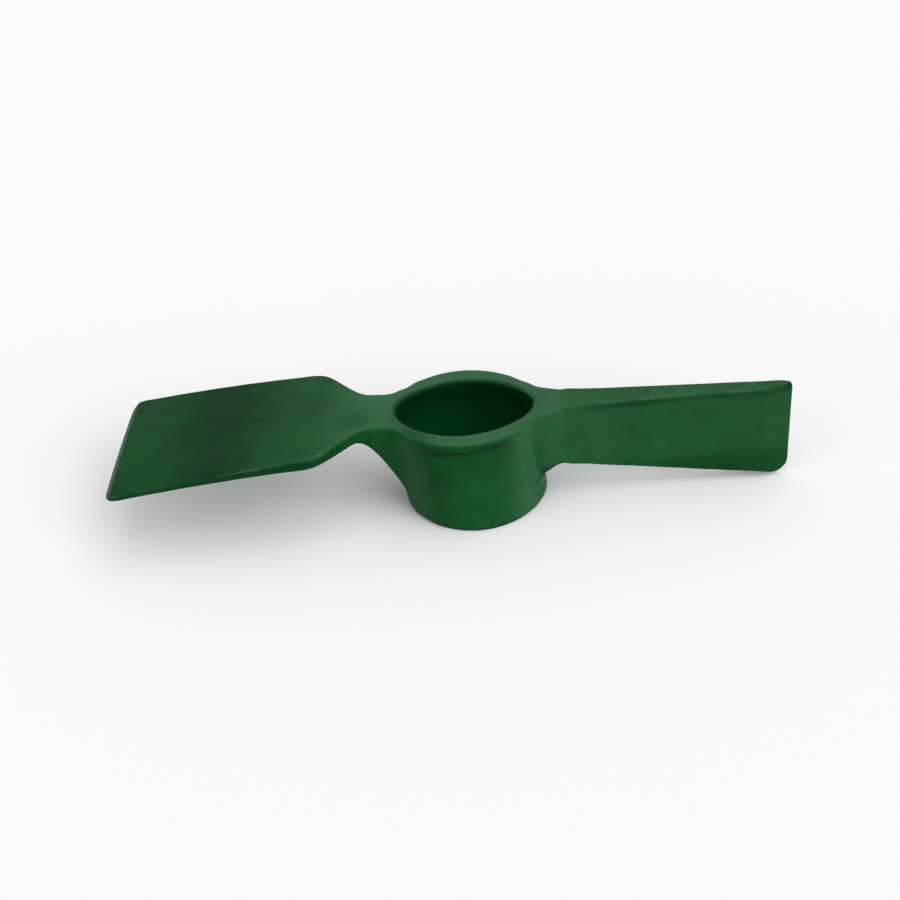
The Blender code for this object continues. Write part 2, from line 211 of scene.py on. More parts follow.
eye_rings = [rim_flat,
             lambda column: wall_point(column, RIM_MIDDLE, RIM_MIDDLE - tang_clear(column)),
             lambda column: wall_point(column, RIM_ROUND)]
eye_rings += [lambda column, ring=ring: wall_ring(column, ring) for ring in range(len(WALL_DEPTHS))]
eye_rings += [lambda column: wall_point(column, RIM - FOOT_ROUND, 0.0, FOOT_SPREAD),
              lambda column: wall_point(column, RIM - FOOT_MIDDLE, FOOT_MIDDLE, FOOT_SPREAD),
              lambda column: wall_point(column, RIM, FOOT_ROUND, FOOT_SPREAD),
              lambda column: bore_point(column, RIM, HEEL_ROUND).lerp(
                  wall_point(column, RIM, FOOT_ROUND, FOOT_SPREAD), FOOT_RING),
              lambda column: bore_point(column, RIM, HEEL_ROUND),
              lambda column: bore_point(column, RIM - HEEL_MIDDLE, HEEL_MIDDLE),
              lambda column: bore_point(column, RIM - HEEL_ROUND),
              lambda column: bore_point(column, RIM - HEEL_RING)]
eye_rings += [lambda column, share=share: bore_point(column, RIM * share) for share in BORE_RINGS]
eye_rings += [lambda column: mouth_point(column, 1.0, 0.0),
              lambda column: mouth_point(column, ROUND_MIDDLE, ROUND_MIDDLE),
              lambda column: mouth_point(column, 0.0, 1.0)]

skin = bmesh.new()
column_of = skin.verts.layers.int.new("column")
ring_of = skin.verts.layers.int.new("ring")
section_of = skin.verts.layers.int.new("section")
crease_of = skin.edges.layers.float.new("crease_edge")
wanted = {}                      # the place on the finished skin that each point belongs at

first_ring = bmesh.ops.create_circle(skin, segments=2 * HALF_ROUND, radius=BORE_TOP[0])["verts"]
for column, point in enumerate(first_ring):
    point[column_of] = column
    point[ring_of] = 0
ring_edges = list(skin.edges)
for ring in range(1, len(eye_rings)):
    pulled = bmesh.ops.extrude_edge_only(skin, edges=ring_edges)["geom"]
    new_points = {item for item in pulled if isinstance(item, bmesh.types.BMVert)}
    for point in new_points:
        point[ring_of] = ring
    ring_edges = [item for item in pulled if isinstance(item, bmesh.types.BMEdge)
                  and all(end in new_points for end in item.verts)]
first_edges = [edge for edge in skin.edges if all(end in first_ring for end in edge.verts)]
bmesh.ops.bridge_loops(skin, edges=ring_edges + first_edges)
for point in skin.verts:
    place = eye_rings[point[ring_of]](point[column_of])
    place.z += tang_back(abs(place.x)) * clamp(1.0 + place.z / RISE_FADE)
    wanted[point] = place


# The adze blade: broad and flat, lying across the head, drawn out from a narrow neck and ground on
# its upper face to the cutting edge. Under the neck a web with a hollow foot runs down the skirt.
NECK_WIDTH = 0.0332
NECK_THICKNESS = 0.0098
NECK_RUN = 0.0081
NECK_ROUND = 0.0038
NECK_ROOT_ROUND = 0.0044         # its long edges are rounder where it leaves the eye
NECK_ROOT_FADE = 0.0040          # and this far past the neck's end they are so no more
SHOULDER_RUN = 0.0340
SHOULDER_WIDTH = 0.0800
SHOULDER_THICKNESS = 0.0064
ADZE_REACH = 0.2003              # middle of the hole to the cutting edge
ADZE_WIDTH = 0.0898
ADZE_THICKNESS = 0.0032
ADZE_ROUND = 0.0011
ADZE_DROP = 0.0165
ADZE_PITCH = 0.45                # share of the drop that is a straight pitch
ADZE_CORNER = 0.0072
ADZE_BOW = 0.0008
ADZE_GRIND = 0.0035
EDGE_LAND = 0.0008               # thickness left at a cutting edge
WEB_LENGTH = 0.0220
WEB_DEPTH = 0.0436
WEB_TAPER = 0.0006
WEB_ROUND = 0.0075
WEB_FULLNESS = 1.42
WEB_FLARE_KEPT = 0.7             # share of the flare that is left at the web's foot
ADZE_FLARE = 0.0040
FLARE_STEPS = 60                 # places along the cheek that a flare is measured from
FLARE_FADE = 3                   # higher keeps the flare further down towards the web's foot
ADZE_MERGE = 0.0500              # sections are flat and upright from here outwards
ADZE_SECTIONS = [0.0540, 0.0590, 0.0650, 0.0720, 0.0790, 0.0860, 0.0960, 0.1100, 0.1260,
                 0.1420, 0.1580, 0.1740, 0.1870, 0.1930, ADZE_REACH - ADZE_GRIND, 0.1982,
                 0.19974, ADZE_REACH]
MERGE_SHARES = [0.22, 0.46, 0.72]   # steps of the way there from the eye's wall
INSIDE_SHARES = [0.0, 0.45, 0.70, 0.88, 0.95]   # columns keep within this share of the half width
TANG_TOP = 1                     # the eye's ring that the blades' backs run into
TANG_FOOT = 10                   # the ring that their lower edges run into
RIM_LEFT = [0.0, 0.01, 0.06, 0.22, 0.55, 0.0]   # share of the rim's round left on a blade's back
ROUND_OF_HEIGHT = 0.55           # most of a blade's height that the round of a long edge may take,
ROUND_SPARE = 0.0003             # less this much
ROUND_OF_WIDTH = 0.35            # most of its half width that the round may take
FIRST_STEP = 2.0                 # the first step in from a long edge, in radii of its round
FLAT_ROUNDS = 3.0                # a side this many times its rounds is tall enough for short steps
GRIND_SECTION = -4               # the section where the adze's grind starts, counted from its edge
GRIND_CREASE = 0.75

eye_end = EYE_TOP[0] / 2
neck_end = eye_end + NECK_RUN
shoulder = neck_end + SHOULDER_RUN


def wall_reach(depth, side):
    """Middle of the hole to the eye's end; side is -1 for the adze's end, 1 for the cutter's."""
    half_length, half_width, shift = wall_outline(depth)
    return half_length + side * shift


def cheek(distance, depth, side):
    """Half width of the eye at a distance from the middle of the hole."""
    half_length, half_width, shift = wall_outline(depth)
    share = clamp((distance - side * shift) / half_length)
    return half_width * (1.0 - share ** EYE_FULLNESS) ** (1.0 / EYE_FULLNESS)


def flared(half_width, distance, depth, side, run):
    """Half width of a blade where it widens into the eye: its curve leaves the cheek smoothly."""
    end = wall_reach(depth, side)
    start = end + run
    if distance >= start:
        return half_width
    places = [end * step / FLARE_STEPS for step in range(FLARE_STEPS + 1)]
    steepest = max((cheek(place, depth, side) - half_width) / (start - place) ** 2 for place in places)
    return half_width + steepest * (start - distance) ** 2


def hollow(share, depth, fullness):
    """Drop of a hollow fillet: 0 at share 0, its whole depth at share 1."""
    return depth * (1.0 - (1.0 - clamp(share) ** fullness) ** (1.0 / fullness))


def corner_setback(from_end, radius):
    """How far a rounded corner is drawn in at a distance from the blade's end."""
    left = max(radius - max(from_end, 0.0), 0.0)
    return radius - math.sqrt(radius * radius - left * left)


def adze_shape(distance, web_distance):
    """Half widths, heights and rounds of the adze's section at a distance from the hole."""
    if distance < shoulder:
        widening = rise(distance, neck_end, SHOULDER_RUN)
        half_width = mix(NECK_WIDTH, SHOULDER_WIDTH, widening) / 2
        thickness = mix(NECK_THICKNESS, SHOULDER_THICKNESS, widening)
    else:
        widening = 1.0
        share = (distance - shoulder) / (ADZE_REACH - shoulder)
        half_width = mix(SHOULDER_WIDTH, ADZE_WIDTH, share) / 2
        thickness = mix(SHOULDER_THICKNESS, ADZE_THICKNESS, share)
    half_width -= corner_setback(ADZE_REACH - distance, ADZE_CORNER)
    if distance < neck_end:
        back = tang_back(distance)
    else:
        share = (distance - neck_end) / (ADZE_REACH - neck_end)
        back = BLADE_RISE - ADZE_DROP * (ADZE_PITCH * share + (1.0 - ADZE_PITCH) * share ** 2)
    web_end = wall_reach(NECK_THICKNESS + WEB_DEPTH, -1) + WEB_LENGTH
    web = clamp((web_end - web_distance) / WEB_LENGTH)
    belly = back - thickness - hollow(web, WEB_DEPTH, WEB_FULLNESS)
    back -= (ADZE_THICKNESS - EDGE_LAND) * clamp((distance - ADZE_REACH + ADZE_GRIND) / ADZE_GRIND)
    near_eye = 1.0 - rise(distance, eye_end, neck_end - eye_end + NECK_ROOT_FADE)
    round_top = mix(mix(NECK_ROUND, NECK_ROOT_ROUND, near_eye), ADZE_ROUND, widening)
    foot = half_width - WEB_TAPER * web
    return (flared(half_width, distance, 0.0, -1, ADZE_FLARE),
            mix(flared(foot, distance, -belly, -1, ADZE_FLARE), foot,
                (1.0 - WEB_FLARE_KEPT) * web ** FLARE_FADE),
            back, belly, round_top, mix(round_top, WEB_ROUND, web))


def from_edge(share, steps, length, first):
    """Distance from an edge at a share of a length: its steps are short at the edge, then grow."""
    power = max(1.0, math.log(max(length / first, 1.0)) / math.log(steps))
    return length * share ** power


def length_down(ring, tall, round_top, round_foot, merge, end):
    """Length along a blade's side to a ring: as on the eye's wall, then short at both edges."""
    top_arc = round_top * math.pi / 2
    foot_arc = round_foot * math.pi / 2
    last = TANG_FOOT - TANG_TOP
    number = ring - TANG_TOP
    if number == 0:
        graded = at_wall = top_arc / 2
    elif number == last:
        graded = at_wall = top_arc + tall + foot_arc / 2
    else:
        share = (number - 1) / (last - 2)
        steps = last / 2 - 1
        if share < 0.5:
            down = from_edge(2.0 * share, steps, tall / 2, FIRST_STEP * round_top)
        else:
            down = tall - from_edge(2.0 - 2.0 * share, steps, tall / 2, FIRST_STEP * round_foot)
        graded = top_arc + down
        depths = [RIM_ROUND] + [pair[end] for pair in WALL_DEPTHS[:last - 1]]
        at_wall = top_arc + tall * (depths[number - 1] - depths[0]) / (depths[-1] - depths[0])
    even = (top_arc + tall + foot_arc) * (number + 1) / (last + 2)
    fitted = mix(even, graded, clamp(tall / (FLAT_ROUNDS * (round_top + round_foot))))
    return mix(at_wall, fitted, merge)


def side_profile(along, back, belly, round_top, round_foot):
    """How far in and how high a blade's side is at a length along it: round, upright, round."""
    top_arc = round_top * math.pi / 2
    foot_arc = round_foot * math.pi / 2
    tall = back - belly - round_top - round_foot
    if along < top_arc:
        turn = along / round_top
        return round_top * (1.0 - math.sin(turn)), back - round_top * (1.0 - math.cos(turn))
    if along <= top_arc + tall:
        return 0.0, back - round_top - (along - top_arc)
    turn = (top_arc + tall + foot_arc - along) / round_foot
    return round_foot * (1.0 - math.sin(turn)), belly + round_foot * (1.0 - math.cos(turn))


def blade_point(column, ring, shape, merge, end, wall_widths):
    """A point of a blade's section: across from the middle column, down from the top ring."""
    half_width, foot_half_width, back, belly, round_top, round_foot = shape
    height = back - belly
    most = ROUND_OF_HEIGHT * height - ROUND_SPARE
    round_top = min(round_top, most, ROUND_OF_WIDTH * half_width)
    round_foot = min(round_foot, most, ROUND_OF_WIDTH * foot_half_width)
    side = math.copysign(1.0, column)
    out = abs(column)

    def across(half, radius, wall_width):
        flat = half - radius
        from_corner = 1.0 - out / (TANG_COLUMNS - 1)
        spread = flat - from_edge(from_corner, TANG_COLUMNS - 1, flat, FIRST_STEP * radius)
        return mix(min(wall_width, half * INSIDE_SHARES[out]), spread, merge)

    if out < TANG_COLUMNS and ring == TANG_TOP:
        return side * across(half_width, round_top, wall_widths[0]), back
    if out < TANG_COLUMNS and ring == TANG_FOOT:
        return side * across(foot_half_width, round_foot, wall_widths[1]), belly

    along = length_down(ring, height - round_top - round_foot, round_top, round_foot, merge, end)
    inset, z = side_profile(along, back, belly, round_top, round_foot)
    down = (back - z) / height
    if out == TANG_COLUMNS:
        return side * (mix(half_width, foot_half_width, down) - inset), z
    return side * mix(across(half_width, round_top, wall_widths[0]),
                      across(foot_half_width, round_foot, wall_widths[1]), down), z


def grow_blade(end_column, side, merge_at, sections, shape_at):
    """Extrudes a blade out of the eye's wall and gives every point of it its place."""
    end = max(side, 0)           # which of a ring's two depths belongs to this end of the head

    def local(point):
        """Column of a point, counted from the blade's middle."""
        return side * ((point[column_of] - end_column + HALF_ROUND) % (2 * HALF_ROUND) - HALF_ROUND)

    wall = [face for face in skin.faces
            if all(abs(local(point)) <= TANG_COLUMNS and point[section_of] == 0
                   and TANG_TOP <= point[ring_of] <= TANG_FOOT for point in face.verts)]
    reach = {}
    width = {}
    for face in wall:
        for point in face.verts:
            place = wanted[point]
            reach[(local(point), point[ring_of])] = side * place.x
            width[(abs(local(point)), point[ring_of])] = abs(place.y)
            if point[ring_of] == TANG_TOP and abs(local(point)) < TANG_COLUMNS:
                place.z = tang_back(side * place.x) - RIM_MIDDLE * RIM_LEFT[abs(local(point))]
    steps = [(share, merge_at) for share in MERGE_SHARES + [1.0]]
    steps += [(1.0, section) for section in sections]
    loops = []
    for number, (share, plane) in enumerate(steps, 1):
        grown = bmesh.ops.extrude_face_region(skin, geom=wall)["geom"]
        bmesh.ops.delete(skin, geom=wall, context='FACES')
        wall = [item for item in grown if isinstance(item, bmesh.types.BMFace)]
        new_points = [item for item in grown if isinstance(item, bmesh.types.BMVert)]
        for point in new_points:
            point[section_of] = number * side
            column = local(point)
            ring = point[ring_of]
            distance = mix(reach[(column, ring)], plane, share)
            behind = reach[(0, TANG_FOOT)] - reach[(column, TANG_FOOT)]
            web_distance = distance + behind * (1.0 - share) ** 2
            widths = [width[(abs(column), row)] for row in (TANG_TOP, TANG_FOOT)]
            shape = shape_at(distance, web_distance)
            y, z = blade_point(column, ring, shape, share, end, widths)
            if ring == TANG_TOP:
                z -= RIM_MIDDLE * RIM_LEFT[abs(column)] * (1.0 - share) ** 2
            wanted[point] = Vector((side * distance, y, z))
        loops.append(set(new_points))
    return loops


def crisp(loop):
    """Keeps a section's outline sharp when the skin is smoothed."""
    for edge in skin.edges:
        if edge.verts[0] in loop and edge.verts[1] in loop:
            edge[crease_of] = GRIND_CREASE


adze_loops = grow_blade(HALF_ROUND, -1, ADZE_MERGE, ADZE_SECTIONS, adze_shape)
crisp(adze_loops[GRIND_SECTION])
for loop in adze_loops:
    for point in loop:
        place = wanted[point]
        bowed = rise(-place.x, shoulder, ADZE_REACH - shoulder)
        place.x += ADZE_BOW * bowed * (2 * place.y / ADZE_WIDTH) ** 2


# The cutter blade: narrow and deep, standing on edge in line with the handle, tapered from a thick
# root to an edge ground on both sides. Its lower edge runs into the skirt with a small hollow.
CUTTER_ROOT = 0.0168
CUTTER_THICKNESS = 0.0088
CUTTER_TAPER = 1.6               # the taper is steeper near the root than further out
CUTTER_LEAN = 0.0046             # where the blade is thicker than an even taper down to this,
CUTTER_TRIM = 0.8                # its back and lower edge draw in by this share of the difference
CUTTER_REACH = 0.1816
CUTTER_START = 0.0580
CUTTER_ROOT_LIFT = 0.0224
CUTTER_EDGE_LIFT = 0.0005
CUTTER_EDGE_RISE = 0.0024
CUTTER_UPPER_CORNER = 0.0030
CUTTER_LOWER_CORNER = 0.0105
CUTTER_GRIND = 0.0146
CUTTER_ROUND = 0.0013
SADDLE_ROUND = 0.0060            # the eye's cheeks roll over into the cutter's root
SADDLE_START = (0.0340, 0.0100)  # where that begins, and its run
SADDLE_END = (0.0480, 0.0130)
CUTTER_HOLLOW = 0.0100
CUTTER_HOLLOW_FULLNESS = 1.6
CUTTER_FLARE = 0.0220
CUTTER_FLARE_KEPT = 0.6
CUTTER_MERGE = 0.0545
CUTTER_SECTIONS = [0.0590, 0.0660, 0.0760, 0.0900, 0.1060, 0.1230, 0.1400, 0.1550, 0.1640,
                   CUTTER_REACH - CUTTER_GRIND, 0.1705, 0.1745, 0.1780, 0.1800, 0.1810,
                   CUTTER_REACH]


def cutter_shape(distance, foot_distance):
    """Half widths, heights and rounds of the cutter's section at a distance from the hole."""
    ground = CUTTER_REACH - CUTTER_GRIND
    share = clamp((distance - CUTTER_START) / (ground - CUTTER_START))
    half = mix(CUTTER_ROOT, CUTTER_THICKNESS, 1.0 - (1.0 - share) ** CUTTER_TAPER) / 2
    half = mix(half, EDGE_LAND / 2, clamp((distance - ground) / CUTTER_GRIND))
    share = (distance - CUTTER_START) / (CUTTER_REACH - CUTTER_START)
    trimmed = CUTTER_TRIM * max(half - mix(CUTTER_ROOT, CUTTER_LEAN, clamp(share)) / 2, 0.0)
    back = tang_back(distance)
    if share > 0.0:
        back = mix(BLADE_RISE, CUTTER_EDGE_RISE, share ** 2)
    foot_share = (foot_distance - CUTTER_START) / (CUTTER_REACH - CUTTER_START)
    belly = mix(CUTTER_ROOT_LIFT, CUTTER_EDGE_LIFT, foot_share) - RIM
    near = clamp(1.0 - (foot_distance - wall_reach(-belly, 1)) / CUTTER_HOLLOW)
    belly -= hollow(near, CUTTER_HOLLOW, CUTTER_HOLLOW_FULLNESS)
    left = CUTTER_REACH - distance
    back -= corner_setback(left, CUTTER_UPPER_CORNER) + trimmed
    belly += corner_setback(left, CUTTER_LOWER_CORNER) + trimmed
    saddle = rise(distance, *SADDLE_START) * (1.0 - rise(distance, *SADDLE_END))
    radius = mix(RIM_ROUND, CUTTER_ROUND, rise(distance, eye_end, CUTTER_START - eye_end))
    radius = mix(radius, SADDLE_ROUND, saddle)
    foot = mix(flared(half, distance, -belly, 1, CUTTER_FLARE), half,
               (1.0 - CUTTER_FLARE_KEPT) * near ** FLARE_FADE)
    return flared(half, distance, 0.0, 1, CUTTER_FLARE), foot, back, belly, radius, radius


grow_blade(0, 1, CUTTER_MERGE, CUTTER_SECTIONS, cutter_shape)


# The forging's skin: the cage above is fitted until its smooth surface passes through every point,
# then made solid mesh. Its faces are slightly uneven, as a scaled and shot-blasted forging's are.
SKIN_LEVELS = 3
FIT_ROUNDS = 14
UNEVEN_HEIGHT = 0.00012
UNEVEN_SIZE = 0.016
FINER_HEIGHT = 0.5               # a second unevenness, in shares of the first
FINER_SIZE = 2.3                 # and this many times finer

to_frame = Vector((EYE_AXIS, 0.0, RIM))
for point in skin.verts:
    point.co = wanted[point] + to_frame
targets = [point.co.copy() for point in skin.verts]
bmesh.ops.recalc_face_normals(skin, faces=skin.faces)
cage = bpy.data.meshes.new("forging_cage")
skin.to_mesh(cage)
skin.free()

forging = bpy.data.objects.new("forging", cage)
bpy.context.scene.collection.objects.link(forging)
smooth = forging.modifiers.new("smooth", 'SUBSURF')
smooth.use_limit_surface = True
smooth.levels = 1
smooth.render_levels = 1
for _ in range(FIT_ROUNDS):
    seen = forging.evaluated_get(bpy.context.evaluated_depsgraph_get())
    made = seen.to_mesh()
    reached = [made.vertices[number].co.copy() for number in range(len(targets))]
    seen.to_mesh_clear()
    for point, target, place in zip(cage.vertices, targets, reached):
        point.co += target - place
    cage.update()
smooth.levels = SKIN_LEVELS
smooth.render_levels = SKIN_LEVELS
seen = forging.evaluated_get(bpy.context.evaluated_depsgraph_get())
whole = bpy.data.meshes.new_from_object(seen)
bpy.data.objects.remove(forging)
outwards = [point.normal.copy() for point in whole.vertices]
for point, normal in zip(whole.vertices, outwards):
    rough = noise.noise(point.co / UNEVEN_SIZE)
    rough += FINER_HEIGHT * noise.noise(point.co * FINER_SIZE / UNEVEN_SIZE)
    point.co += normal * UNEVEN_HEIGHT * rough


# Paint: one coat of deep green semi-gloss, dipped and hung to dry. Its colour holds painted light:
# lighter on the rim, the neck, the tops and strips of the cheeks; painted shade under the lip, on
# the middle of the adze, below the cutter's back, along the lower edges and in the hole, which is
# lighter down at its foot. The blades' edges are rubbed, with a painted edge highlight.
PAINT_DEEP = (0.0004, 0.041, 0.0065, 1.0)
PAINT_LIGHT = (0.0050, 0.082, 0.0200, 1.0)
# painted light: a lighter greyish green for the lit tops, rim, neck and cheek strips
PAINT_LIT = (0.0370, 0.122, 0.0560, 1.0)
# painted shade: under the lip, on the lower edges, below the cutter's back and on the adze
PAINT_SHADE = (0.0004, 0.010, 0.0030, 1.0)
# painted shade inside the hole, with painted light greening it towards its foot
HOLE_SHADE = (0.0003, 0.024, 0.0060, 1.0)
HOLE_FOOT_LIT = (0.0008, 0.105, 0.0240, 1.0)
# rubbed paint and a painted edge highlight, lighter and greyer
EDGE_RUBBED_AND_GLINT = (0.0620, 0.150, 0.0850, 1.0)
PAINT_ROUGHNESS = (0.30, 0.46)
PAINT_SHINE = 0.045
GRAIN_STRENGTH = 0.20
GRAIN_HEIGHT = 0.0005
HOLE_EDGE = 0.0026               # the hole's painted shade begins this far out on the mouth's round
HOLE_FADE = (0.85, 0.25)         # its painted shade is dark above one share of the eye's height, lighter green below the other
SPREAD_ROUNDS = 3                # how far the coat's changes run into each other

# How sharply the skin bends at each point, below 0 over an edge and above 0 in a hollow.
spots = [point.co.copy() for point in whole.vertices]
bend = [0.0] * len(spots)
ties = [0] * len(spots)
pairs = [tuple(edge.vertices) for edge in whole.edges]
for a, b in pairs:
    along = spots[b] - spots[a]
    bend[a] += 2.0 * outwards[a].dot(along) / along.length_squared
    bend[b] -= 2.0 * outwards[b].dot(along) / along.length_squared
    ties[a] += 1
    ties[b] += 1
bend = [value / tie for value, tie in zip(bend, ties)]


def swell(place, middle, reach):
    """1 at the middle, falling softly to nothing past the reach."""
    return math.exp(-((place - middle) / reach) ** 2)


# Where painted shade darkens the coat. A pair is a start and a run for rise, or a middle and a
# reach for swell. A band is down from the rim, the other places are along the head, and a facing
# is how far a face looks up, down or to the side.
MOST_SHADE = 0.9
FACING_DOWN = (0.10, 0.35)       # the lower edges
UNDERSIDE = (-0.97, 0.22)        # a flat underside takes less painted shade
UNDERSIDE_AMOUNT = 0.22
FOOT_AMOUNT = 0.75               # the foot of the skirt
FOOT_BAND = (RIM - 0.0030, 0.0030)
FOOT_FACING = (-0.90, 0.4)
LIP_AMOUNT = 0.45                # under the lip, and once more in each patch
LIP_REACH = 0.036
LIP_BAND = 0.020
LIP_FACING = 0.9
LIP_LOWER_KEPT = 0.35            # share of the lower edges' painted shade that is left there
LIP_PATCHES = [(-0.015, 0.007), (0.019, 0.009)]
LIP_ENDS = [(-0.026, 0.008), (0.028, -0.007)]
CREASE_DEPTHS = (0.0064, 0.0052)   # of the crease under the lip: by the adze, by the cutter
CREASE_DEPTH_RUN = (0.0, 0.012)
CREASE_WIDTHS = (0.0029, 0.0019)
CREASE_WIDTH_RUN = (0.0, 0.020)
BACK_AMOUNTS = (0.32, 0.62)      # below the cutter's back, and in the patch there
BACK_PATCH = (0.096, 0.018)
BACK_START = (0.060, 0.012)
BACK_BAND = (0.0014, 0.0020)
BACK_FACING = 0.6
LOW_AMOUNT = 0.22                # low on the cutter's sides
LOW_BAND = (0.036, 0.014)
CORNER_AMOUNT = 0.8              # the upper corner of the cutter's edge
CORNER_PATCH = (0.1815, 0.0055)
CORNER_BAND = (0.0, 0.0030)
ADZE_DARK_AMOUNTS = (0.52, 0.20)   # in the patch on the adze's top, and from there to its edge
ADZE_DARK_PATCH = (0.134, 0.024)
ADZE_DARK_START = (0.120, 0.040)
ADZE_DARK_FACING = (0.5, 0.3)
ADZE_SIDE_AMOUNT = 0.45          # on the adze's narrow sides
ADZE_SIDE_START = (0.058, 0.014)
ADZE_SIDE_FACING = (0.55, 0.3)


def painted_shade_share(seat, normal, inside):
    """How dark the painted shade makes the coat; a seat is a place measured from the middle of the
    mouth.
    """
    if inside:
        return 0.0
    depth = -seat.z
    lower = rise(-normal.z, *FACING_DOWN) * mix(UNDERSIDE_AMOUNT, 1.0, rise(normal.z, *UNDERSIDE))
    lower = max(lower, FOOT_AMOUNT * rise(depth, *FOOT_BAND) * rise(normal.z, *FOOT_FACING))
    lip = 0.0
    if abs(seat.x) < LIP_REACH and depth < LIP_BAND and abs(normal.z) < LIP_FACING:
        lower *= LIP_LOWER_KEPT
        lip = LIP_AMOUNT
        for patch in LIP_PATCHES:
            lip += LIP_AMOUNT * swell(seat.x, *patch)
        for end in LIP_ENDS:
            lip *= rise(seat.x, *end)
        lip *= swell(depth, mix(*CREASE_DEPTHS, rise(seat.x, *CREASE_DEPTH_RUN)),
                     mix(*CREASE_WIDTHS, rise(seat.x, *CREASE_WIDTH_RUN)))
    back_line = 0.0
    if seat.x > BACK_START[0] and abs(normal.y) > BACK_FACING:
        back_line = mix(*BACK_AMOUNTS, swell(seat.x, *BACK_PATCH)) * rise(seat.x, *BACK_START)
        back_line *= swell(depth, *BACK_BAND)
        back_line += LOW_AMOUNT * rise(depth, *LOW_BAND)
    corner = CORNER_AMOUNT * swell(seat.x, *CORNER_PATCH) * swell(depth, *CORNER_BAND)
    adze = ADZE_DARK_AMOUNTS[0] * swell(-seat.x, *ADZE_DARK_PATCH)
    adze += ADZE_DARK_AMOUNTS[1] * rise(-seat.x, *ADZE_DARK_START)
    adze *= rise(normal.z, *ADZE_DARK_FACING)
    adze_sides = ADZE_SIDE_AMOUNT * rise(-seat.x, *ADZE_SIDE_START)
    adze_sides *= rise(abs(normal.y), *ADZE_SIDE_FACING)
    return min(max(lower, lip, back_line, corner, adze, adze_sides), MOST_SHADE)


# Where painted light lightens the coat, in the same pairs. It is lightest on top, round the mouth.
# An upright strip of painted light on a cheek is an amount, then a middle and a reach in how far
# the cheek looks to the cutter.
FACING_UP = (0.35, 0.5)
NECK_LIT = 0.32                 # painted light past the neck, before the adze's top is unlit again
NECK_LIT_START = (0.054, 0.030)
ADZE_UNLIT_START = (0.075, 0.065)
NECK_SPOT = 0.62                 # a spot with less painted light on the near half of the neck
NECK_SPOT_ALONG = (-0.060, 0.010)
NECK_SPOT_ACROSS = (-0.009, 0.008)
RIM_SPOT = 0.60                  # and on the near half of the rim
RIM_SPOT_ALONG = (-0.027, 0.011)
RIM_SPOT_ACROSS = (0.0, -0.012)
BACK_LIT = 0.62                 # the cutter's back
BACK_LIT_START = (0.046, 0.020)
CHEEK_STRIPS = [(0.60, 0.72, 0.24), (0.16, -0.70, 0.20)]
MIDDLE_STRIP = (0.12, 0.05, 0.25)
MIDDLE_STRIP_RUN = (-0.045, 0.030)   # it fades towards the foot
CHEEK_REACH = 0.050
CUTTER_SIDE_START = (0.036, 0.012)
CUTTER_SIDE_LIT = (0.42, 0.25)  # at the root, then further out
CUTTER_SIDE_RUN = (0.070, 0.030)
CUTTER_LOW_KEPT = 0.4            # share that is left along the lower edge
CUTTER_LOW_RUN = (-0.056, 0.028)
SMALLEST = 1e-6                  # stands in where a face looks straight up or down


def painted_light_share(seat, normal):
    """How much painted light lightens the coat: most on the eye's rim and neck, little on the adze and
    the skirt.
    """
    if seat.x < 0.0:
        top = mix(1.0, NECK_LIT, rise(-seat.x, *NECK_LIT_START))
        top *= 1.0 - rise(-seat.x, *ADZE_UNLIT_START)
        top -= NECK_SPOT * swell(seat.x, *NECK_SPOT_ALONG) * swell(seat.y, *NECK_SPOT_ACROSS)
        top -= RIM_SPOT * swell(seat.x, *RIM_SPOT_ALONG) * rise(seat.y, *RIM_SPOT_ACROSS)
    else:
        top = mix(1.0, BACK_LIT, rise(seat.x, *BACK_LIT_START))
    cheek_side = 0.0
    if abs(seat.x) < CHEEK_REACH:
        along = normal.x / max(math.hypot(normal.x, normal.y), SMALLEST)
        for amount, middle, reach in CHEEK_STRIPS:
            cheek_side += amount * swell(along, middle, reach)
        amount, middle, reach = MIDDLE_STRIP
        cheek_side += amount * swell(along, middle, reach) * rise(seat.z, *MIDDLE_STRIP_RUN)
    cutter_side = mix(*CUTTER_SIDE_LIT, rise(seat.x, *CUTTER_SIDE_RUN))
    cutter_side *= mix(CUTTER_LOW_KEPT, 1.0, rise(seat.z, *CUTTER_LOW_RUN))
    side = mix(cheek_side, cutter_side, rise(seat.x, *CUTTER_SIDE_START))
    return mix(side, top, rise(normal.z, *FACING_UP))


def softened(values, rounds):
    """Each point's value spread into its neighbours'."""
    for _ in range(rounds):
        total = [value * tie for value, tie in zip(values, ties)]
        for a, b in pairs:
            total[a] += values[b]
            total[b] += values[a]
        values = [value / (2 * tie) for value, tie in zip(total, ties)]
    return values


# Where it is rubbed and carries a painted edge highlight: the ground edge of the cutter, and every
# sharp edge on the blades.
RUBBED_TURN = 0.0013             # an edge of this radius is rubbed most
RUBBED_START = 0.25              # a duller edge than this share of that isn't rubbed
BLADES_START = (0.060, 0.020)
BARE_EDGE = 0.9
BARE_EDGE_START = (CUTTER_REACH - 0.0006, 0.0004)

painted_shade = []
painted_light = []
rubbed_and_glint = []
in_hole = []
for spot, normal, value in zip(spots, outwards, softened(bend, SPREAD_ROUNDS)):
    seat = spot - to_frame
    wide = ((abs(seat.x) / (BORE_TOP[0] / 2)) ** BORE_FULLNESS
            + (abs(seat.y) / (BORE_TOP[1] / 2)) ** BORE_FULLNESS) ** (1.0 / BORE_FULLNESS)
    beside = (wide - 1.0) * BORE_TOP[1] / 2
    in_hole.append(rise(beside, HOLE_EDGE, -HOLE_EDGE))
    painted_shade.append(painted_shade_share(seat, normal, beside < HOLE_EDGE))
    painted_light.append(painted_light_share(seat, normal))
    sharpness = -2.0 * value * RUBBED_TURN        # an edge bends one way, and its value is a mean
    worn = rise(abs(seat.x), *BLADES_START) * (sharpness - RUBBED_START)
    rubbed_and_glint.append(clamp(max(worn, BARE_EDGE * rise(seat.x, *BARE_EDGE_START))))
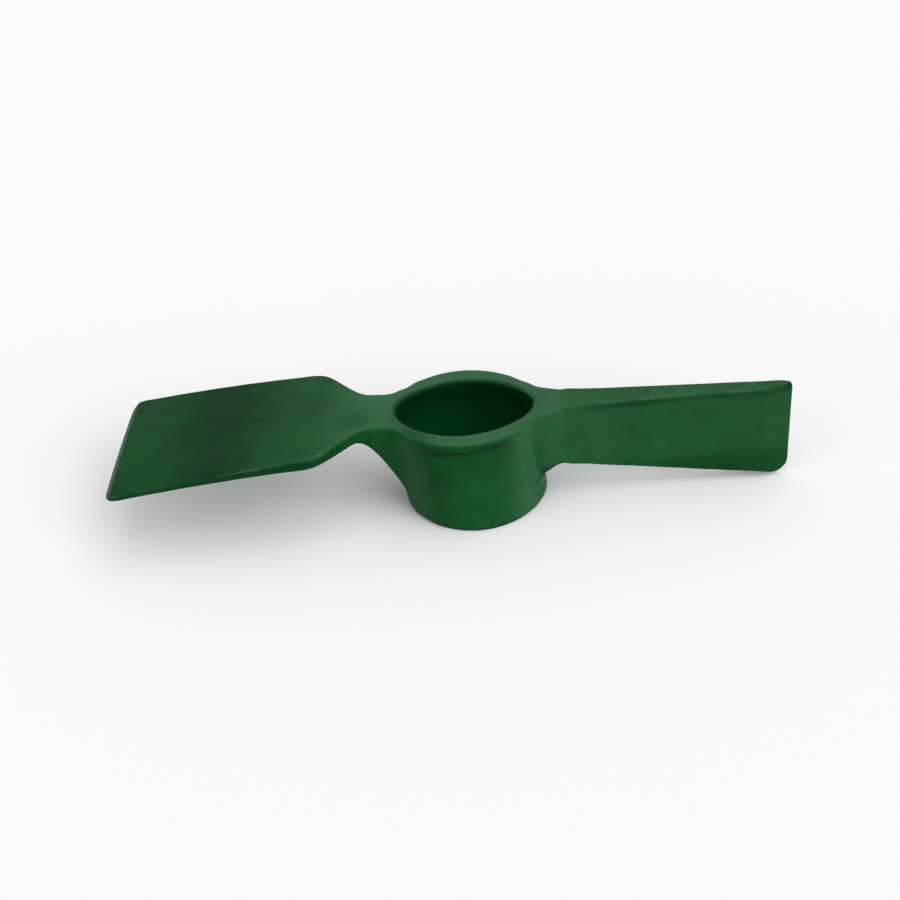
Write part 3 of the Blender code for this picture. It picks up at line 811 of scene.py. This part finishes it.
painted_shade = softened(painted_shade, SPREAD_ROUNDS)
for name, values in (("painted_shade", painted_shade), ("painted_light", painted_light), ("rubbed_and_glint", rubbed_and_glint),
                     ("in_hole", in_hole)):
    whole.attributes.new(name, 'FLOAT', 'POINT').data.foreach_set("value", values)

BROAD_SHARE = 0.50               # what each pattern adds to the depth of the coat
FINE_SHARE = 0.30
STREAK_SHARE = 0.20
LIT_EVEN = 0.80                 # painted light shows this much everywhere, and more in patches
LIT_PATCHY = 0.35
SHADE_SHARE = 0.90            # the most that painted shade hides of what is under it
COARSE_GRAIN = 0.65
FINE_GRAIN = 0.35

paint = bpy.data.materials.new("green_paint")
paint.use_nodes = True
nodes = paint.node_tree.nodes
links = paint.node_tree.links
shader = nodes["Principled BSDF"]
shader.inputs["Specular IOR Level"].default_value = PAINT_SHINE
on_object = nodes.new("ShaderNodeTexCoord")


def cloud(scale, detail, low, high, stretch=(1.0, 1.0, 1.0)):
    """A noise pattern on the object, spread out to run from 0 at low to 1 at high."""
    turn = nodes.new("ShaderNodeMapping")
    turn.inputs["Scale"].default_value = stretch
    pattern = nodes.new("ShaderNodeTexNoise")
    pattern.inputs["Scale"].default_value = scale
    pattern.inputs["Detail"].default_value = detail
    spread = nodes.new("ShaderNodeMapRange")
    spread.inputs["From Min"].default_value = low
    spread.inputs["From Max"].default_value = high
    links.new(on_object.outputs["Object"], turn.inputs["Vector"])
    links.new(turn.outputs["Vector"], pattern.inputs["Vector"])
    links.new(pattern.outputs["Fac"], spread.inputs["Value"])
    return spread.outputs["Result"]


def painted(share, under, over):
    """The colour over, laid on the colour under by a share; each is a socket or a value."""
    blend = nodes.new("ShaderNodeMix")
    blend.data_type = 'RGBA'
    for socket, given in (("Factor", share), ("A", under), ("B", over)):
        if isinstance(given, bpy.types.NodeSocket):
            links.new(given, blend.inputs[socket])
        else:
            blend.inputs[socket].default_value = given
    return blend.outputs["Result"]


def combined(operation, first, second):
    """A sum or a product of sockets or values, kept between 0 and 1."""
    total = nodes.new("ShaderNodeMath")
    total.operation = operation
    total.use_clamp = True
    for number, given in enumerate((first, second)):
        if isinstance(given, bpy.types.NodeSocket):
            links.new(given, total.inputs[number])
        else:
            total.inputs[number].default_value = given
    return total.outputs[0]


def reading(name):
    """What the skin's points hold under a name."""
    source = nodes.new("ShaderNodeAttribute")
    source.attribute_name = name
    return source.outputs["Fac"]


broad = cloud(scale=15.0, detail=2.0, low=0.36, high=0.66)
fine = cloud(scale=70.0, detail=4.0, low=0.34, high=0.68)
streaks = cloud(scale=95.0, detail=3.0, low=0.40, high=0.64, stretch=(0.10, 1.0, 1.0))
depth_of_coat = combined('ADD', combined('MULTIPLY', broad, BROAD_SHARE),
                         combined('ADD', combined('MULTIPLY', fine, FINE_SHARE),
                                  combined('MULTIPLY', streaks, STREAK_SHARE)))
colour = painted(depth_of_coat, PAINT_DEEP, PAINT_LIGHT)
uneven = combined('ADD', combined('MULTIPLY', fine, LIT_PATCHY), LIT_EVEN)
# painted light laid on the base colour
colour = painted(combined('MULTIPLY', reading("painted_light"), uneven), colour, PAINT_LIT)
patchy = cloud(scale=75.0, detail=5.0, low=0.42, high=0.74)
# rubbed paint with a painted edge highlight on the blades' edges
colour = painted(combined('MULTIPLY', reading("rubbed_and_glint"), patchy), colour, EDGE_RUBBED_AND_GLINT)
# painted shade laid over the colour
colour = painted(combined('MULTIPLY', reading("painted_shade"), SHADE_SHARE), colour, PAINT_SHADE)
height = nodes.new("ShaderNodeSeparateXYZ")
links.new(on_object.outputs["Object"], height.inputs["Vector"])
down_hole = nodes.new("ShaderNodeMapRange")
down_hole.inputs["From Min"].default_value = RIM * HOLE_FADE[0]
down_hole.inputs["From Max"].default_value = RIM * HOLE_FADE[1]
links.new(height.outputs["Z"], down_hole.inputs["Value"])
# painted shade in the hole, lighter towards its foot
hole_shade = painted(down_hole.outputs["Result"], HOLE_SHADE, HOLE_FOOT_LIT)
colour = painted(reading("in_hole"), colour, hole_shade)
links.new(colour, shader.inputs["Base Color"])
dull = nodes.new("ShaderNodeMapRange")
dull.inputs["To Min"].default_value = PAINT_ROUGHNESS[0]
dull.inputs["To Max"].default_value = PAINT_ROUGHNESS[1]
links.new(fine, dull.inputs["Value"])
links.new(dull.outputs["Result"], shader.inputs["Roughness"])
fine_grain = cloud(scale=420.0, detail=3.0, low=0.30, high=0.70)
fine_grain = combined('MULTIPLY', fine_grain, FINE_GRAIN)
coarse_grain = cloud(scale=130.0, detail=2.0, low=0.35, high=0.65)
grain = combined('ADD', fine_grain, combined('MULTIPLY', coarse_grain, COARSE_GRAIN))
bump = nodes.new("ShaderNodeBump")
bump.inputs["Strength"].default_value = GRAIN_STRENGTH
bump.inputs["Distance"].default_value = GRAIN_HEIGHT
links.new(grain, bump.inputs["Height"])
links.new(bump.outputs["Normal"], shader.inputs["Normal"])


# The three members: adze blade, eye and cutter blade, all of one forged steel. The skin parts on
# the two planes where the blades are welded to the eye's tangs, and a flat face closes each cut.
ADZE_WELD = -0.04665
CUTTER_WELD = 0.06735


def member(name, cuts):
    """A piece of the skin; each cut is a place along the head and the side of it that goes."""
    part = bmesh.new()
    part.from_mesh(whole)
    for x, side in cuts:
        everything = part.verts[:] + part.edges[:] + part.faces[:]
        cut = bmesh.ops.bisect_plane(part, geom=everything, plane_co=(x, 0.0, 0.0),
                                     plane_no=(side, 0.0, 0.0), clear_outer=True)["geom_cut"]
        rim = [item for item in cut if isinstance(item, bmesh.types.BMEdge)]
        filled = bmesh.ops.triangle_fill(part, edges=rim, use_beauty=True)["geom"]
        for face in (item for item in filled if isinstance(item, bmesh.types.BMFace)):
            face.smooth = False
            for edge in face.edges:
                edge.smooth = not any(beside.smooth for beside in edge.link_faces)
    mesh = bpy.data.meshes.new(name)
    bmesh.ops.recalc_face_normals(part, faces=part.faces)
    part.to_mesh(mesh)
    part.free()
    mesh.materials.append(paint)
    piece = bpy.data.objects.new(name, mesh)
    bpy.context.scene.collection.objects.link(piece)
    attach(piece, "root")
    return piece


for face in whole.polygons:
    face.use_smooth = True
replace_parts(member("painted_adze", [(ADZE_WELD, 1.0)]), "adze_blade")
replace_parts(member("painted_eye", [(ADZE_WELD, -1.0), (CUTTER_WELD, 1.0)]), "eye")
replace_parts(member("painted_cutter", [(CUTTER_WELD, -1.0)]), "cutter_blade")


# The floor and the room: a wide matt white sheet that takes the soft shadow, and white all round
# for the camera and for the paint's shine. As a lamp the room is dimmer than it looks.
FLOOR_WHITE = (0.97, 0.97, 0.97, 1.0)
FLOOR_SIZE = 40.0
FLOOR_ROUGHNESS = 0.9
ROOM_WHITE = (1.0, 1.0, 1.0, 1.0)
ROOM_LIGHT = 0.50

floor_mesh = bpy.data.meshes.new("floor")
sheet = bmesh.new()
bmesh.ops.create_grid(sheet, x_segments=1, y_segments=1, size=FLOOR_SIZE)
sheet.to_mesh(floor_mesh)
sheet.free()
floor = bpy.data.objects.new("floor", floor_mesh)
bpy.context.scene.collection.objects.link(floor)
pale = bpy.data.materials.new("floor_white")
pale.use_nodes = True
matt = pale.node_tree.nodes["Principled BSDF"]
matt.inputs["Base Color"].default_value = FLOOR_WHITE
matt.inputs["Roughness"].default_value = FLOOR_ROUGHNESS
matt.inputs["Specular IOR Level"].default_value = 0.0
floor_mesh.materials.append(pale)

world = bpy.data.worlds.new("studio")
bpy.context.scene.world = world
world.use_nodes = True
room = world.node_tree.nodes
room_links = world.node_tree.links
path = room.new("ShaderNodeLightPath")
seen_or_glossy = room.new("ShaderNodeMath")
seen_or_glossy.operation = 'MAXIMUM'
white_rays = room.new("ShaderNodeMath")
white_rays.operation = 'MAXIMUM'
strength = room.new("ShaderNodeMapRange")
strength.inputs["To Min"].default_value = ROOM_LIGHT
strength.inputs["To Max"].default_value = 1.0
room_links.new(path.outputs["Is Camera Ray"], seen_or_glossy.inputs[0])
room_links.new(path.outputs["Is Glossy Ray"], seen_or_glossy.inputs[1])
room_links.new(seen_or_glossy.outputs[0], white_rays.inputs[0])
room_links.new(path.outputs["Is Transmission Ray"], white_rays.inputs[1])
room_links.new(white_rays.outputs[0], strength.inputs["Value"])
room_links.new(strength.outputs["Result"], room["Background"].inputs["Strength"])
room["Background"].inputs["Color"].default_value = ROOM_WHITE


# The lights: three wide soft suns, a strong one from the front on the right, a weak one from the
# front on the left and one from nearly overhead. Each is given the way towards it.
def soft_light(name, towards, spread, power):
    lamp = bpy.data.lights.new(name, 'SUN')
    lamp.angle = math.radians(spread)
    lamp.energy = power
    item = bpy.data.objects.new(name, lamp)
    bpy.context.scene.collection.objects.link(item)
    item.rotation_euler = Vector(towards).to_track_quat('Z', 'Y').to_euler()


soft_light("right_light", towards=(1.10, -0.85, 0.85), spread=45.0, power=1.45)
soft_light("left_light", towards=(-1.0, -0.60, 0.70), spread=50.0, power=0.35)
soft_light("top_light", towards=(0.35, -0.05, 1.00), spread=50.0, power=0.68)


# The camera: a 56 mm lens in front of the near cheek, looking down on the head and turned a little
# about its own line of sight, as the photograph was taken.
CAMERA_PLACE = (0.05917, -0.62341, 0.53050)
LOOK_ROUND = math.radians(5.47)
LOOK_DOWN = math.radians(38.56)
ROLL = math.radians(6.98)
LENS = 56.0
FILM_WIDTH = 36.0

back = Vector((math.sin(LOOK_ROUND) * math.cos(LOOK_DOWN),
               -math.cos(LOOK_ROUND) * math.cos(LOOK_DOWN), math.sin(LOOK_DOWN)))
level = Vector((math.cos(LOOK_ROUND), math.sin(LOOK_ROUND), 0.0))
upright = back.cross(level)
right = level * math.cos(ROLL) - upright * math.sin(ROLL)
up = upright * math.cos(ROLL) + level * math.sin(ROLL)
lens = bpy.data.cameras.new("camera")
lens.lens = LENS
lens.sensor_width = FILM_WIDTH
camera = bpy.data.objects.new("camera", lens)
bpy.context.scene.collection.objects.link(camera)
camera.matrix_world = Matrix.Translation(CAMERA_PLACE) @ Matrix(
    (right, up, back)).transposed().to_4x4()
bpy.context.scene.camera = camera
